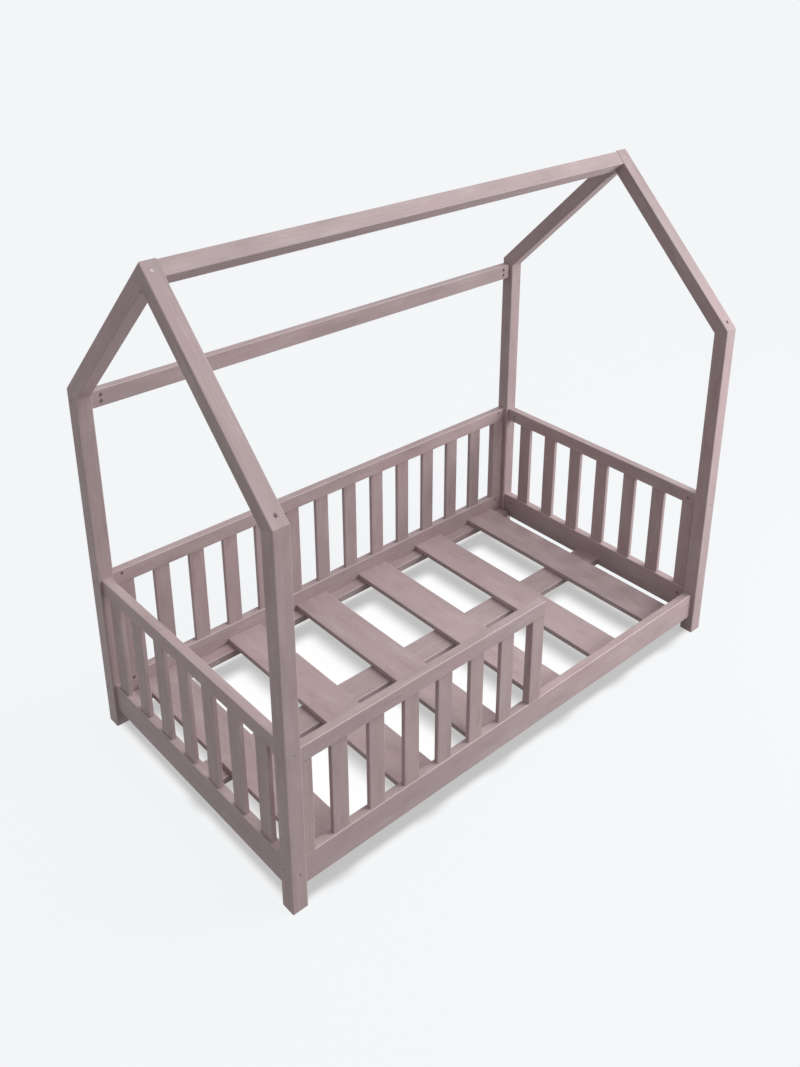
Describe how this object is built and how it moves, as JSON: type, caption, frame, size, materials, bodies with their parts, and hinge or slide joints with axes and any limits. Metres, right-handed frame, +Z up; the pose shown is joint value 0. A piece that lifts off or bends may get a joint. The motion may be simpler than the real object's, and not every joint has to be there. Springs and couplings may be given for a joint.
{
  "type": "house frame bed",
  "caption": "Low child's bed with slatted sides and a half guard, under an open house-shaped frame of square posts, 45 degree rafters and a ridge beam.",
  "frame": {"origin": "on the floor, below the middle of the bed", "axes": "+X along the bed towards the open end of the entry side, +Y towards the back, +Z up"},
  "size_m": [1.67, 0.918, 1.541],
  "materials": {
    "frame_wood": "satin dusty mauve paint over pine",
    "rail_wood": "satin dusty mauve paint over pine",
    "slat_wood": "satin dusty mauve paint over pine",
    "base_wood": "satin dusty mauve paint over pine",
    "zinc_steel": "zinc plated"
  },
  "bodies": {
    "root": {"back_eaves_board": "rail_wood", "back_ledge": "base_wood", "back_left_post": "frame_wood", "back_left_rafter": "frame_wood", "back_left_stile": "slat_wood", "back_lower_rail": "rail_wood", "back_right_post": "frame_wood", "back_right_rafter": "frame_wood", "back_right_stile": "slat_wood", "back_slats": "slat_wood", "back_upper_rail": "rail_wood", "barrel_nuts": "zinc_steel", "bed_board_1": "base_wood", "bed_board_2": "base_wood", "bed_board_3": "base_wood", "bed_board_4": "base_wood", "bed_board_5": "base_wood", "bed_board_6": "base_wood", "centre_plank": "base_wood", "front_ledge": "base_wood", "front_left_post": "frame_wood", "front_left_rafter": "frame_wood", "front_lower_rail": "rail_wood", "front_right_post": "frame_wood", "front_right_rafter": "frame_wood", "guard_end_stile": "slat_wood", "guard_post_stile": "slat_wood", "guard_slat_1": "slat_wood", "guard_slat_2": "slat_wood", "guard_slat_3": "slat_wood", "guard_slat_4": "slat_wood", "guard_slat_5": "slat_wood", "guard_slat_6": "slat_wood", "guard_top_rail": "rail_wood", "hanger_screws": "zinc_steel", "ledge_screws": "zinc_steel", "left_lower_rail": "rail_wood", "left_plank_hanger": "zinc_steel", "left_slat_1": "slat_wood", "left_slat_2": "slat_wood", "left_slat_3": "slat_wood", "left_slat_4": "slat_wood", "left_slat_5": "slat_wood", "left_slat_6": "slat_wood", "left_slat_7": "slat_wood", "left_upper_rail": "rail_wood", "rail_bolts": "zinc_steel", "ridge_beam": "frame_wood", "ridge_screws": "zinc_steel", "right_lower_rail": "rail_wood", "right_plank_hanger": "zinc_steel", "right_slat_1": "slat_wood", "right_slat_2": "slat_wood", "right_slat_3": "slat_wood", "right_slat_4": "slat_wood", "right_slat_5": "slat_wood", "right_slat_6": "slat_wood", "right_slat_7": "slat_wood", "right_upper_rail": "rail_wood", "roof_screws": "zinc_steel"}
  },
  "joints": []
}
